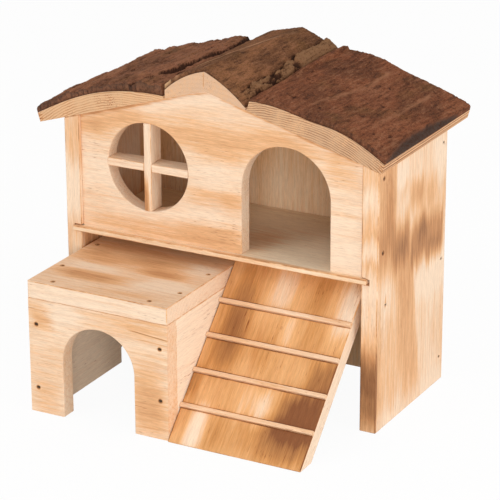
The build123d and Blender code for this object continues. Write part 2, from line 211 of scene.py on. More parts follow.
def finish_piece(piece, body, material, node, flat=True):
    """Smooths, paints and mounts a piece that stands for a CAD node."""
    only(piece)
    bpy.ops.object.shade_smooth_by_angle(angle=SHARP if flat else BARK_SHARP)
    if flat:
        normals = piece.modifiers.new("Flat faces stay flat", "WEIGHTED_NORMAL")
        normals.keep_sharp = True
        bpy.ops.object.modifier_apply(modifier=normals.name)
    piece.data.materials.clear()
    piece.data.materials.append(material)
    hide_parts(node)
    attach(piece, body)


# ---- Shader building ----
class Tree:
    """Adds and joins the nodes of one material or node group."""

    def __init__(self, tree):
        self.tree = tree
        self.place = 0

    def add(self, kind, feeds=(), **settings):
        node = self.tree.nodes.new(kind)
        node.location = (self.place % 12 * 190, -(self.place // 12) * 260)
        self.place += 1
        for name, value in settings.items():
            setattr(node, name, value)
        for socket, value in dict(feeds).items():
            self.feed(node.inputs[socket], value)
        return node

    def feed(self, socket, value):
        if isinstance(value, bpy.types.NodeSocket):
            self.tree.links.new(value, socket)
        elif socket.type == "RGBA" and len(value) == 3:
            socket.default_value = (*value, 1.0)
        else:
            socket.default_value = value

    def math(self, operation, a, b=0.0, clamp=False):
        return self.add("ShaderNodeMath", {0: a, 1: b}, operation=operation, use_clamp=clamp).outputs[0]

    def vector(self, operation, a, b=(0.0, 0.0, 0.0)):
        node = self.add("ShaderNodeVectorMath", {0: a, 1: b}, operation=operation)
        return node.outputs["Value" if operation in ("LENGTH", "DOT_PRODUCT") else "Vector"]

    def noise(self, vector, seed=0.0, detail=3.0, roughness=0.55):
        feeds = {"Vector": vector, "W": seed, "Scale": 1.0, "Detail": detail, "Roughness": roughness}
        return self.add("ShaderNodeTexNoise", feeds, noise_dimensions="4D").outputs["Fac"]

    def remap(self, value, low, high, to_low=0.0, to_high=1.0, interpolation="SMOOTHSTEP"):
        feeds = {0: value, 1: low, 2: high, 3: to_low, 4: to_high}
        return self.add("ShaderNodeMapRange", feeds, interpolation_type=interpolation).outputs[0]

    def mix(self, factor, a, b, blend="MIX"):
        feeds = {0: factor, 6: a, 7: b}
        return self.add("ShaderNodeMix", feeds, data_type="RGBA", blend_type=blend).outputs[2]


def group(name, inputs, outputs):
    """A new shader node group with named sockets; returns it with its input and output nodes."""
    tree = bpy.data.node_groups.new(name, "ShaderNodeTree")
    for socket, kind in inputs.items():
        tree.interface.new_socket(name=socket, in_out="INPUT", socket_type="NodeSocket" + kind)
    for socket, kind in outputs.items():
        tree.interface.new_socket(name=socket, in_out="OUTPUT", socket_type="NodeSocket" + kind)
    made = Tree(tree)
    return tree, made, made.add("NodeGroupInput").outputs, made.add("NodeGroupOutput")


def grain_group():
    """Pine as it is all through a board: growth rings round a pith, fibres and short dark resin dashes.
    The vector is in millimetres with its X along the grain and its origin in the middle of the board."""
    inputs = {"Vector": "Vector", "Pith": "Vector", "Ring Width": "Float", "Wander": "Float", "Seed": "Float"}
    outputs = {"Rings": "Float", "Fibre": "Float", "Dashes": "Float", "Drift": "Float", "Pores": "Float"}
    tree, t, given, out = group("Pine Grain", inputs, outputs)
    at, seed = given["Vector"], given["Seed"]
    slow = t.noise(t.vector("MULTIPLY", at, (0.011, 0.03, 0.03)), seed, 1.0)
    bend = t.math("MULTIPLY", t.math("SUBTRACT", slow, 0.5), given["Wander"])
    ripple = t.noise(t.vector("MULTIPLY", at, (0.03, 0.16, 0.16)), seed, 2.0)
    across = t.vector("MULTIPLY", t.vector("SUBTRACT", at, given["Pith"]), (0.0, 1.0, 1.0))
    radius = t.math("ADD", t.vector("LENGTH", across), bend)
    radius = t.math("ADD", radius, t.math("MULTIPLY", ripple, 1.6))
    turn = t.math("FRACT", t.math("DIVIDE", radius, given["Ring Width"]))
    rise = t.remap(turn, 0.45, 0.86)
    fall = t.remap(turn, 0.9, 1.0, 1.0, 0.0)
    waxing = t.noise(t.vector("MULTIPLY", at, (0.02, 0.12, 0.12)), seed, 1.0)
    t.feed(out.inputs["Rings"], t.math("MULTIPLY", t.math("MULTIPLY", rise, fall), t.remap(waxing, 0.3, 0.65, 0.35)))
    broad = t.noise(t.vector("MULTIPLY", at, (0.03, 0.55, 0.55)), seed, 3.0, 0.6)
    fine = t.noise(t.vector("MULTIPLY", at, (0.09, 2.2, 2.2)), seed, 3.0, 0.6)
    fibre = t.math("ADD", t.math("MULTIPLY", broad, 0.55), t.math("MULTIPLY", fine, 0.45))
    t.feed(out.inputs["Fibre"], t.remap(fibre, 0.34, 0.66, interpolation="LINEAR"))
    t.feed(out.inputs["Pores"], t.noise(t.vector("MULTIPLY", at, (0.2, 2.4, 2.4)), seed, 4.0, 0.7))
    dashes = t.noise(t.vector("MULTIPLY", at, (0.19, 2.0, 2.0)), seed, 1.0)
    patches = t.noise(t.vector("MULTIPLY", at, (0.02, 0.06, 0.06)), seed, 1.0)
    dashes = t.remap(t.math("ADD", dashes, t.math("MULTIPLY", patches, 0.5)), 0.93, 1.02)
    t.feed(out.inputs["Dashes"], dashes)
    t.feed(out.inputs["Drift"], t.noise(t.vector("MULTIPLY", at, (0.012, 0.05, 0.05)), seed, 2.0))
    return tree


def stroke_group():
    """A soft patch on a board, given in the plane of its face: mostly a pass of the flame, in a few places painted
    shade.
    """
    inputs = {"Vector": "Vector", "Centre": "Vector", "Reach": "Vector", "Turn": "Float", "Softness": "Vector"}
    tree, t, given, out = group("Flame Stroke", inputs, {"Mask": "Float"})
    offset = t.vector("SUBTRACT", given["Vector"], given["Centre"])
    turned = t.add("ShaderNodeVectorRotate", {"Vector": offset, "Angle": given["Turn"]}, rotation_type="Z_AXIS")
    share = t.vector("ABSOLUTE", t.vector("DIVIDE", turned.outputs[0], given["Reach"]))
    share = t.add("ShaderNodeSeparateXYZ", {0: share})
    soft = t.add("ShaderNodeSeparateXYZ", {0: given["Softness"]})
    masks = []
    for axis in (0, 1):
        near = t.math("SUBTRACT", 1.0, soft.outputs[axis])
        far = t.math("ADD", 1.0, soft.outputs[axis])
        masks.append(t.remap(share.outputs[axis], near, far, 1.0, 0.0))
    t.feed(out.inputs["Mask"], t.math("MULTIPLY", *masks))
    return tree


def finish_group():
    """The face of a pine board: colour, roughness and height from its grain, its scorching and the painted shade that
    some strokes and the eased edges add.
    """
    inputs = {
        "Rings": "Float", "Fibre": "Float", "Dashes": "Float", "Drift": "Float", "Pores": "Float", "Scorch": "Float",
        "Ring Strength": "Float", "Dash Strength": "Float", "Fibre Strength": "Float", "Pale": "Color", "Golden": "Color",
        "Toasted": "Color", "Charred": "Color", "Latewood": "Color", "Resin": "Color",
    }
    tree, t, given, out = group(
        "Pine Finish", inputs, {"Colour": "Color", "Roughness": "Float", "Height": "Float"}
    )
    fibres = t.math("MULTIPLY", t.math("SUBTRACT", given["Fibre"], 0.5), given["Fibre Strength"])
    drift = t.math("MULTIPLY", t.math("SUBTRACT", given["Drift"], 0.5), 0.55)
    scorch_and_shade = t.math("ADD", t.math("ADD", given["Scorch"], fibres), drift)
    low = t.mix(t.remap(scorch_and_shade, -0.02, 0.36, interpolation="LINEAR"), given["Pale"], given["Golden"])
    middle = t.mix(t.remap(scorch_and_shade, 0.34, 0.68, interpolation="LINEAR"), low, given["Toasted"])
    burnt = t.mix(t.remap(scorch_and_shade, 0.66, 1.08, interpolation="LINEAR"), middle, given["Charred"])
    ringed = t.mix(
        t.math("MULTIPLY", given["Rings"], given["Ring Strength"]), burnt,
        t.mix(1.0, burnt, given["Latewood"], "MULTIPLY"),
    )
    dashed = t.mix(
        t.math("MULTIPLY", given["Dashes"], given["Dash Strength"]), ringed,
        t.mix(1.0, ringed, given["Resin"], "MULTIPLY"),
    )
    worn = t.mix(1.0, dashed, t.remap(given["Pores"], 0.3, 0.62, 0.82, 1.04, "LINEAR"), "MULTIPLY")
    t.feed(out.inputs["Colour"], worn)
    t.feed(out.inputs["Roughness"], t.remap(given["Fibre"], 0.0, 1.0, 0.52, 0.7, "LINEAR"))
    height = t.math("ADD", t.math("MULTIPLY", given["Rings"], 0.4), t.math("MULTIPLY", given["Fibre"], 0.6))
    t.feed(out.inputs["Height"], t.math("SUBTRACT", height, given["Dashes"]))
    return tree


def bark_group():
    """Dead bark in millimetres, with Y along the log: colour, roughness and fine height."""
    inputs = {
        "Vector": "Vector", "Relief": "Float", "Crust": "Float", "Rub": "Float", "Cut": "Float",
        "Bare": "Float",
        "Main": "Color", "Dark": "Color", "Light": "Color", "Moss": "Color", "Grey": "Color", "Wood": "Color",
        "Seed": "Float",
    }
    tree, t, given, out = group(
        "Bark Face", inputs, {"Colour": "Color", "Roughness": "Float", "Height": "Float"}
    )
    at, seed = given["Vector"], given["Seed"]
    patches = t.noise(t.vector("MULTIPLY", at, (0.05, 0.03, 0.05)), seed, 4.0, 0.6)
    mossy = t.noise(t.vector("MULTIPLY", at, (0.06, 0.035, 0.06)), t.math("ADD", seed, 3.7), 3.0)
    streaks = t.noise(t.vector("MULTIPLY", at, (0.5, 0.09, 0.5)), seed, 4.0, 0.65)
    specks = t.noise(t.vector("MULTIPLY", at, (0.9, 0.6, 0.9)), seed, 5.0, 0.75)
    grains = t.noise(t.vector("MULTIPLY", at, (2.6, 2.0, 2.6)), seed, 3.0, 0.7)
    base = t.mix(t.remap(patches, 0.44, 0.62), given["Main"], t.mix(0.5, given["Main"], given["Dark"]))
    base = t.mix(t.math("MULTIPLY", t.remap(patches, 0.46, 0.3), 0.5), base, t.mix(0.5, given["Main"], given["Light"]))
    base = t.mix(t.math("MULTIPLY", t.remap(mossy, 0.5, 0.7), 0.6), base, given["Moss"])
    for noise_of, dark, light, deep, high in (
        (streaks, 0.36, 0.66, 0.62, 0.5), (specks, 0.34, 0.70, 0.62, 0.5), (grains, 0.34, 0.68, 0.55, 0.45),
    ):
        base = t.mix(t.math("MULTIPLY", t.remap(noise_of, 0.5, light), high), base, given["Light"])
        base = t.mix(t.math("MULTIPLY", t.remap(noise_of, 0.5, dark), deep), base, given["Dark"])
    # painted shade: darker towards the dark colour where the relief mark is low, in furrows, grooves, crevices and
    # pits, over the bark's own darker furrows; lighter where it is highest
    base = t.mix(t.math("MULTIPLY", t.remap(given["Relief"], 0.42, 0.0), 0.9), base, given["Dark"])
    base = t.mix(t.math("MULTIPLY", t.remap(given["Relief"], 0.7, 1.0), 0.25), base, given["Light"])
    flaked = t.math("MULTIPLY", t.remap(specks, 0.36, 0.56), t.remap(streaks, 0.34, 0.52, 0.3))
    flaked = t.math("MULTIPLY", flaked, t.remap(given["Relief"], 0.1, 0.45))
    base = t.mix(t.math("MULTIPLY", given["Crust"], flaked), base, given["Grey"])
    base = t.mix(t.math("MULTIPLY", given["Rub"], t.remap(streaks, 0.3, 0.6, 0.2)), base, given["Light"])
    dull = t.mix(0.7, given["Dark"], (0.115, 0.08, 0.063))
    cut = t.mix(t.remap(specks, 0.4, 0.7), dull, t.mix(0.2, given["Dark"], given["Main"]))
    base = t.mix(given["Cut"], base, cut)
    base = t.mix(given["Bare"], base, given["Wood"])
    t.feed(out.inputs["Colour"], base)
    t.feed(out.inputs["Roughness"], t.remap(specks, 0.3, 0.7, 0.66, 0.92, "LINEAR"))
    height = t.math("ADD", specks, t.math("MULTIPLY", streaks, 0.6))
    t.feed(out.inputs["Height"], t.math("ADD", height, t.math("MULTIPLY", grains, 0.5)))
    return tree


def shared(name, make):
    """The node group of that name, made on its first use."""
    return bpy.data.node_groups.get(name) or make()


def new_material(name):
    """An empty node material with a Principled shader; returns it, its tree and the shader."""
    material = bpy.data.materials.new(name)
    material.use_nodes = True
    material.node_tree.nodes.clear()
    t = Tree(material.node_tree)
    shader = t.add("ShaderNodeBsdfPrincipled")
    t.add("ShaderNodeOutputMaterial", {"Surface": shader.outputs[0]})
    return material, t, shader


def millimetres(t):
    """Object coordinates in millimetres."""
    return t.vector("MULTIPLY", t.add("ShaderNodeTexCoord").outputs["Object"], (1000.0, 1000.0, 1000.0))


GRAIN = {  # the turn that lays each grain direction along X
    "X": (0.0, 0.0, 0.0),
    "Y": (0.0, 0.0, radians(-90)),
    "Z": (0.0, radians(90), 0.0),
    "ramp": (radians(-45.8), 0.0, radians(-90)),
}
FACE = {  # the two directions across a board's face, in which its flame strokes are placed
    "XZ": ((1, 0, 0), (0, 0, 1)),
    "YZ": ((0, 1, 0), (0, 0, 1)),
    "XY": ((1, 0, 0), (0, 1, 0)),
    "ramp": ((1, 0, 0), (0, cos(radians(45.8)), sin(radians(45.8)))),
}


BRAD_AXIS = {
    "front_panel_brads": (1, 0, 0), "back_panel_brads": (1, 0, 0), "porch_front_brads": (0, 1, 0),
    "porch_top_brads": (0, 0, 1),
}
SKIN = {  # the outward direction of the one face that the flame reached
    "front": (0, -1, 0),
    "top": (0, 0, 1),
    "ramp": (0, -sin(radians(45.8)), cos(radians(45.8))),
}


def brad_heads(node):
    """The middle of each brad in a node, in millimetres."""
    heads = []
    for vertex in frame["nodes"][node].data.vertices:
        place = vertex.co / MM
        for head in heads:
            if (head[0] / head[1] - place).length < 12:
                head[0] += place
                head[1] += 1
                break
        else:
            heads.append([place.copy(), 1])
    return [total / count for total, count in heads]


TONES = ("pale", "golden", "toasted", "charred", "latewood", "resin")


def pine(name, node, grain="X", face="XZ", pith=(0, 40, -12), ring_width=2.6, wander=9.0, seed=0.0, level=0.12,
         strokes=(), skin=None, rings=0.13, dashes=0.5, fibres=0.34, feather=5.0, bump=0.35, brads=None, bruise=0.4, **tones):
    """A scorched pine finish, with some painted shade. A stroke, mostly a pass of the flame and in a few places
    painted shade, is (a, b, reach a, reach b, turn in degrees, weight, softness a, softness b), with its place and
    reach in millimetres on the board's face. A tone replaces the wood setting of the same name."""
    wood = bpy.context.scene.hamster_house_wood
    material, t, shader = new_material(name)
    at = millimetres(t)
    low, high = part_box(node)
    middle = (low + high) / 2 / MM
    turned = Euler(GRAIN[grain]).to_matrix() @ middle
    mapping = t.add("ShaderNodeMapping", {"Vector": at, "Rotation": GRAIN[grain], "Location": -turned})
    along = mapping.outputs[0]
    wood_grain = t.add("ShaderNodeGroup", node_tree=shared("Pine Grain", grain_group))
    for socket, value in (("Vector", along), ("Pith", pith), ("Ring Width", ring_width), ("Wander", wander),
                          ("Seed", seed)):
        t.feed(wood_grain.inputs[socket], value)
    a, b = (t.vector("DOT_PRODUCT", at, tuple(map(float, axis))) for axis in FACE[face])
    streak = t.noise(t.vector("MULTIPLY", along, (0.008, 0.3, 0.3)), seed, 5.0, 0.7)
    shift = t.math("MULTIPLY", t.math("SUBTRACT", streak, 0.5), feather * 4)
    if grain == face[0]:
        a = t.math("ADD", a, shift)
    else:
        b = t.math("ADD", b, shift)
    spot = t.add("ShaderNodeCombineXYZ", {0: a, 1: b}).outputs[0]
    scorch_and_shade = 0.0
    for ca, cb, ra, rb, turn, weight, soft_a, soft_b in strokes:
        stroke = t.add("ShaderNodeGroup", node_tree=shared("Flame Stroke", stroke_group))
        for socket, value in (("Vector", spot), ("Centre", (ca, cb, 0.0)), ("Reach", (ra, rb, 1.0)),
                              ("Turn", radians(turn)), ("Softness", (soft_a, soft_b, 0.0))):
            t.feed(stroke.inputs[socket], value)
        scorch_and_shade = t.math("ADD", t.math("MULTIPLY", stroke.outputs[0], weight), scorch_and_shade)
    if skin:
        outward = Vector(SKIN[skin])
        outermost = max(vertex.co.dot(outward) for vertex in frame["nodes"][node].data.vertices) / MM
        height = t.vector("DOT_PRODUCT", at, tuple(outward))
        scorch_and_shade = t.math("MULTIPLY", scorch_and_shade, t.remap(height, outermost - 1.2, outermost - 0.3))
    # the eased edges get darker: scorch that the edges took, and painted shade for the dark lines along the edges and
    # joints
    eased = t.add("ShaderNodeAttribute", attribute_name="eased").outputs["Fac"]
    broken = t.remap(t.noise(t.vector("MULTIPLY", at, (0.12, 0.12, 0.12)), seed, 3.0), 0.3, 0.65, 0.0, 0.55)
    scorch_and_shade = t.math("ADD", scorch_and_shade, t.math("ADD", t.math("MULTIPLY", eased, broken), level))
    for head in brad_heads(brads) if brads else ():  # the wood is bruised brown round each brad
        across = tuple(map(float, Vector((1, 1, 1)) - Vector(BRAD_AXIS[brads])))
        away = t.vector("MULTIPLY", t.vector("SUBTRACT", at, tuple(head)), across)
        near = t.remap(t.vector("LENGTH", away), 0.7, 1.8, bruise, 0.0)
        scorch_and_shade = t.math("ADD", scorch_and_shade, near)
    finish = t.add("ShaderNodeGroup", node_tree=shared("Pine Finish", finish_group))
    for socket in ("Rings", "Fibre", "Dashes", "Drift", "Pores"):
        t.feed(finish.inputs[socket], wood_grain.outputs[socket])
    for socket, value in (("Scorch", scorch_and_shade), ("Ring Strength", rings), ("Dash Strength", dashes), ("Fibre Strength", fibres),
                          *((tone.title(), tones.get(tone) or tuple(getattr(wood, tone))) for tone in TONES)):
        t.feed(finish.inputs[socket], value)
    relief = t.add("ShaderNodeBump", {"Strength": bump, "Distance": 0.0002, "Height": finish.outputs["Height"]})
    t.feed(shader.inputs["Base Color"], finish.outputs["Colour"])
    t.feed(shader.inputs["Roughness"], finish.outputs["Roughness"])
    t.feed(shader.inputs["Normal"], relief.outputs[0])
    shader.inputs["Specular IOR Level"].default_value = 0.18
    return material


def bark_material(name, main, seed):
    """The bark's finish; its relief, crust, rubbed lines and bare wood come from the mesh."""
    bark = bpy.context.scene.hamster_house_bark
    sawn = linear(230, 184, 138)
    material, t, shader = new_material(name)
    face = t.add("ShaderNodeGroup", node_tree=shared("Bark Face", bark_group))
    for mark in BARK_MARKS:
        t.feed(face.inputs[mark.title()], t.add("ShaderNodeAttribute", attribute_name=mark).outputs["Fac"])
    for socket, value in (("Vector", millimetres(t)), ("Main", tuple(main)), ("Dark", tuple(bark.dark_brown)),
                          ("Light", tuple(bark.light_brown)), ("Moss", tuple(bark.moss_brown)),
                          ("Grey", tuple(bark.crust)), ("Wood", tuple(sawn)), ("Seed", seed)):
        t.feed(face.inputs[socket], value)
    bump = t.add("ShaderNodeBump", {"Strength": 1.0, "Distance": 0.0009, "Height": face.outputs["Height"]})
    t.feed(shader.inputs["Base Color"], face.outputs["Colour"])
    t.feed(shader.inputs["Roughness"], face.outputs["Roughness"])
    t.feed(shader.inputs["Normal"], bump.outputs[0])
    shader.inputs["Specular IOR Level"].default_value = 0.05
    return material


# ---- Boards: node, piece, body, slot and finish ----
FRONT_STROKES = [
    (4, 152, 60, 8, 0, 0.36, 0.4, 0.8),  # golden between the window's top and the door's
    (0, 165, 26, 4, 0, 0.14, 0.7, 0.9),
    (50, 157, 26, 5, 14, 0.14, 0.7, 0.8),  # golden along the roof
    (-62, 155, 18, 6, -15, 0.26, 0.6, 0.8),
    (-72, 146, 10, 5, 0, 0.22, 0.8, 0.8),
    (8, 141, 14, 4, 0, 0.18, 0.7, 0.9),
    (4, 131, 17, 5, 0, -0.12, 0.7, 0.9),
    (4, 106, 16, 4, 0, -0.1, 0.7, 0.9),
    (4, 117, 22, 4, 0, 0.24, 0.7, 0.7),  # golden streak
    (16, 115, 8, 16, 0, 0.12, 0.7, 0.9),
    (-25, 93, 56, 6, 0, 0.28, 0.5, 0.9),  # golden foot
    (2, 98, 16, 8, 0, 0.12, 0.7, 0.9),
    (-71, 108, 9, 4, 0, 0.10, 0.6, 0.8),
    (82, 150, 9, 12, 0, 0.22, 0.6, 0.8),
    (82, 121, 11, 1.1, 0, 0.14, 0.4, 0.8),
    (82, 90, 11, 9, 0, -0.06, 0.6, 0.8),
    (0, 173, 22, 4, 0, -0.05, 0.8, 0.8),
    (-45, 162.9, 44, 0.8, -17.2, 0.42, 0.2, 0.9),  # painted shadow under the roof's overhang along the gable edges, over some scorch on the panel's eased top edge
    (46, 163.6, 46, 0.8, 15.9, 0.42, 0.2, 0.9),
]
WALL_STROKES = [
    (-13, 129, 11, 25, 0, 0.36, 0.15, 0.6),  # golden strip with a sharp side
    (-10, 126, 5, 12, 0, 0.18, 0.8, 0.9),
    (5, 139, 7, 6, 0, -0.24, 0.3, 0.8),
    (58, 133, 10, 14, 0, -0.22, 0.6, 0.8),
    (9, 128, 6, 5, 0, 0.12, 0.5, 0.8),
    (24, 123, 8, 7, 0, 0.38, 0.5, 0.8),
    (40, 120, 12, 7, 0, 0.14, 0.6, 0.8),
    (-5, 100, 20, 12, 0, 0.36, 0.12, 0.8),  # brown band
    (6, 97, 10, 9, 0, 0.30, 0.6, 0.9),
    (38, 93, 20.5, 11, 0, 0.62, 0.08, 0.7),
    (33, 99, 6, 6, 0, 0.16, 0.7, 0.9),
    (4, 80, 16, 14, 0, 0.06, 0.3, 0.8),
    (48, 82, 9, 8, 0, 0.26, 0.6, 0.8),
    (28, 107, 8, 6, 0, 0.18, 0.7, 0.9),
    (44, 68, 21, 9, 0, -0.28, 0.3, 0.8),  # pale patch
    (-11, 72, 9, 10, 0, -0.22, 0.6, 0.8),
    (2, 66, 5, 9, 0, -0.10, 0.7, 0.9),
    (50, 114, 12, 11, 0, 0.14, 0.7, 0.9),
    (-14, 112, 9, 14, 0, 0.12, 0.5, 0.8),
    (-14, 74, 1.2, 2.6, 0, 0.5, 0.8, 0.8),  # small knot
    (-1.5, 48, 27, 42, -9, 0.20, 0.05, 0.5),  # golden plank tone, with a sharp leaning side at its right
    (15, 46, 9, 40, -9, 0.14, 0.8, 0.5),
    (43, 40, 17, 36, -9, -0.03, 0.06, 0.5),
    (22, 1, 60, 7, 0, -0.16, 0.3, 0.9),  # pale foot
    (56, 32, 14, 14, 0, 0.12, 0.7, 0.8),
    (-24, 131, 1.4, 6, 0, -0.22, 0.4, 0.8),  # front edge of the board
    (-24, 103, 1.4, 5, 0, -0.42, 0.4, 0.8),
    (-24, 75, 1.4, 20, 0, -0.24, 0.4, 0.6),
    (-24, 27, 1.4, 15, 0, 0.68, 0.4, 0.8),
    (-24, 6, 1.4, 8, 0, 0.50, 0.4, 0.8),
]
BACK_STROKES = [
    (0, 150, 90, 30, 0, 0.3, 0.3, 0.9),
]
LEFT_WALL_STROKES = [
    (38 - a, b - 24, reach_a, reach_b, -turn, weight * 0.8, soft_a, soft_b)
    for a, b, reach_a, reach_b, turn, weight, soft_a, soft_b in WALL_STROKES if a > -20
] + [
    (-24, 138, 1.4, 12, 0, 0.10, 0.4, 0.8),  # front edge of the board
    (-24, 104, 1.4, 14, 0, -0.14, 0.4, 0.8),
    (-24, 82, 1.4, 10, 0, 0.12, 0.4, 0.8),
    (-24, 8, 1.4, 12, 0, 0.30, 0.4, 0.8),
]
FLOOR_STROKES = [
    # painted shadow on the floor just inside the door
    (20, 2, 10, 14, 0, 0.34, 0.8, 0.8),
    (6, -24.5, 110, 1.4, 0, 0.34, 0.1, 0.6),  # golden front edge
]
PORCH_TOP_STROKES = [
    (-34, -44, 60, 50, 0, 0.20, 0.1, 0.1),  # all of the top
    (-44, -24, 30, 13, 0, 0.32, 0.5, 0.8),  # brown rear half
    (-16, -42, 12, 4.5, 0, 0.5, 0.8, 0.9),  # brown streaks along the grain
    (-50, -62, 20, 5, 0, 0.5, 0.6, 0.9),
    (-20, -76, 18, 3, 0, 0.12, 0.6, 0.9),
    (-5, -57, 11, 6, 0, -0.3, 0.7, 0.9),
    (-56, -50, 14, 3, 0, -0.2, 0.7, 0.9),
    (-1, -28, 8, 6, 0, -0.24, 0.7, 0.9),
    (-24, -12, 8, 4, 0, -0.16, 0.8, 0.9),
    (-57, -40, 8, 5, 0, 0.16, 0.8, 0.9),
    (-33, -30, 9, 4, 0, 0.12, 0.8, 0.9),
    (-70, -28, 8, 10, 0, 0.12, 0.7, 0.9),
]
PORCH_FRONT_STROKES = [
    (-55, 61, 9, 8, 0, -0.18, 0.8, 0.8),  # pale under the top board
    (-69, 55, 6, 5, 0, 0.28, 0.7, 0.9),
    (-8, 63, 16, 5, 0, 0.16, 0.7, 0.9),
    (-2, 58.6, 11, 0.32, 5, 0.55, 0.4, 0.8),  # long crack at the right
    (0, 55, 8, 0.25, 3, 0.25, 0.5, 0.8),
    (-66, 9, 8, 10, 0, 0.22, 0.7, 0.9),
    (-3, 22, 9, 18, 0, 0.30, 0.7, 0.9),
    (-26, 62, 14, 4, 0, 0.10, 0.7, 0.8),
]
BAR_STROKES = [
    (-38.6, 108, 1.4, 12, 0, 0.75, 0.8, 0.6),  # a scorched corner low on the upright window bar
]
RAMP_STROKES = [
    (49, 0, 60, 80, 0, 0.58, 0.1, 0.1),  # all of the face
    (22, 16, 8, 31, 0, 0.34, 0.8, 0.35),  # brown along the left
    (45, 38, 6, 12, 0, -0.34, 0.8, 0.6),  # pale band
    (55, 15, 3.5, 10, 0, -0.24, 0.8, 0.7),
    (66, 37, 5, 12, 0, 0.26, 0.7, 0.6),
    (22, 43, 9, 8, 0, -0.12, 0.7, 0.7),
    (26, 8, 6, 14, 0, 0.14, 0.8, 0.8),
    (87, 34, 8, 15, 0, -0.42, 0.6, 0.6),
    (70, 13, 5, 11, 0, 0.20, 0.7, 0.7),
    (84, -8, 9, 11, 0, 0.44, 0.6, 0.7),  # the flame stayed longest at the lower right
    (12, -22, 3.5, 8, 0, 0.34, 0.7, 0.7),
    (35, -26, 6, 10, 0, 0.16, 0.8, 0.8),
    (46, -26, 4, 10, 0, -0.14, 0.8, 0.8),
    (56, -29, 5, 8, 0, -0.36, 0.9, 0.9),
    (80, -31, 14, 12, 0, 0.74, 0.8, 0.7),
    (23, -48, 4.5, 12, 0, -0.42, 0.8, 0.5),
    (34, -48, 5, 12, 0, 0.16, 0.8, 0.6),
    (78, -46, 17, 11, 0, 0.44, 0.7, 0.7),
    (48, -48, 13, 9, 0, 0.20, 0.8, 0.7),
    (40, 3, 9, 11, 0, 0.2, 0.8, 0.7),
]


def board_table():
    """Node, piece, slot and look of each board."""
    return [
        ("left_side_wall", "left_side_board", "wall_wood",
         dict(grain="Z", face="YZ", pith=(0, 50, 8), seed=1.3, level=0.14, strokes=LEFT_WALL_STROKES,
              feather=8.0, dashes=0.25, brads="front_panel_brads", bruise=0.2)),
        ("right_side_wall", "right_side_board", "wall_wood",
         dict(grain="Z", face="YZ", pith=(0, -60, 12), seed=2.1, level=0.14, strokes=WALL_STROKES,
              feather=8.0, dashes=0.25, brads="front_panel_brads", bruise=0.2)),
        ("front_panel", "front_board", "panel_wood",
         dict(grain="X", face="XZ", pith=(0, 42, -14), seed=3.7, level=0.03, strokes=FRONT_STROKES, skin="front",
              rings=0.1)),
        ("back_panel", "back_board", "panel_wood",
         dict(grain="Z", face="XZ", pith=(0, 30, 55), seed=4.4, level=0.16, rings=0.03, dashes=0.3, pale=linear(247, 221, 188),
              golden=linear(236, 189, 140),
              strokes=BACK_STROKES)),
        # paler than the other boards, partly as painted light: brightened because the lamps leave the room behind the
        # door dim
        ("upper_floor", "floor_board", "floor_wood",
         dict(grain="X", face="XY", pith=(0, 10, 60), seed=5.9, level=-0.04, rings=0.08, pale=linear(252, 231, 200),
              strokes=FLOOR_STROKES)),
        ("porch_front_panel", "porch_front_board", "porch_wood",
         dict(grain="X", face="XZ", pith=(0, 26, 8), seed=6.2, level=0.16, strokes=PORCH_FRONT_STROKES,
              skin="front", brads="porch_front_brads")),
        # kept pale, partly as painted light: brighter for the porch's inner face, which the lamps light dimly
        ("porch_left_panel", "porch_left_board", "porch_wood",
         dict(grain="Y", face="YZ", pith=(0, 30, 0), seed=7.5, level=-0.12,
              pale=linear(252, 230, 204))),
        # kept pale, partly as painted light: brighter for its faces that the ramp and the porch shade
        ("porch_right_panel", "porch_right_board", "porch_wood",
         dict(grain="Y", face="YZ", pith=(0, -30, 10), seed=8.8, level=-0.14,
              pale=linear(252, 230, 204))),
        ("porch_top", "porch_top_board", "porch_wood",
         dict(grain="X", face="XY", pith=(0, 10, -40), seed=9.1, level=-0.04, strokes=PORCH_TOP_STROKES,
              skin="top", brads="porch_top_brads")),
        ("ramp_board", "ramp_plank", "ramp_wood",
         dict(grain="ramp", face="ramp", pith=(0, 8, -45), seed=10.6, level=-0.12, strokes=RAMP_STROKES, skin="ramp",
              dashes=0.7, fibres=0.22, golden=linear(236, 180, 124), toasted=linear(208, 146, 86),
              charred=linear(136, 84, 50))),
    ]


class HOUSE_OT_boards(bpy.types.Operator):
    """Ease the edges of the house's boards and give each its scorched pine"""

    bl_idname = "hamster_house.boards"
    bl_label = "Finish the boards"

    def execute(self, context):
        ease = context.scene.hamster_house_wood.edge_ease
        for node, name, slot, look in board_table():
            piece = copy_of(node, name)
            ease_edges(piece, ease)
            finish_piece(piece, "house", pine(f"Pine {name}", node, **look), node)
        return {"FINISHED"}


class HOUSE_OT_strips(bpy.types.Operator):
    """Finish the small strips: window cross, rungs and battens"""

    bl_idname = "hamster_house.strips"
    bl_label = "Finish the strips"

    def execute(self, context):
        ease = context.scene.hamster_house_wood.edge_ease
        table = [("window_bar_vertical", "upright_window_bar", "house", "window_bar_wood", "Z"),
                 ("window_bar_horizontal", "level_window_bar", "house", "window_bar_wood", "X")]
        table += [(f"ramp_rung_{n}", f"rung_strip_{n}", "house", "rung_wood", "X") for n in (1, 2, 3, 4)]
        table += [(f"{row}_batten_{side}", f"{row}_{side}_batten_strip", "roof", "batten_wood", "X")
                  for row in ("front", "rear") for side in ("left", "right")]
        for n, (node, name, body, slot, grain) in enumerate(table):
            piece = copy_of(node, name)
            if body == "house":
                ease_edges(piece, ease * 0.6, 0.003)
            look = dict(grain=grain, face="XZ", pith=(0, 6 + n, 14), seed=20.0 + n * 1.7, ring_width=2.2,
                        level=0.2 if "rung" in node else 0.06,
                        strokes=BAR_STROKES if node == "window_bar_vertical" else ())
            finish_piece(piece, body, pine(f"Pine {name}", node, **look), node)
        return {"FINISHED"}


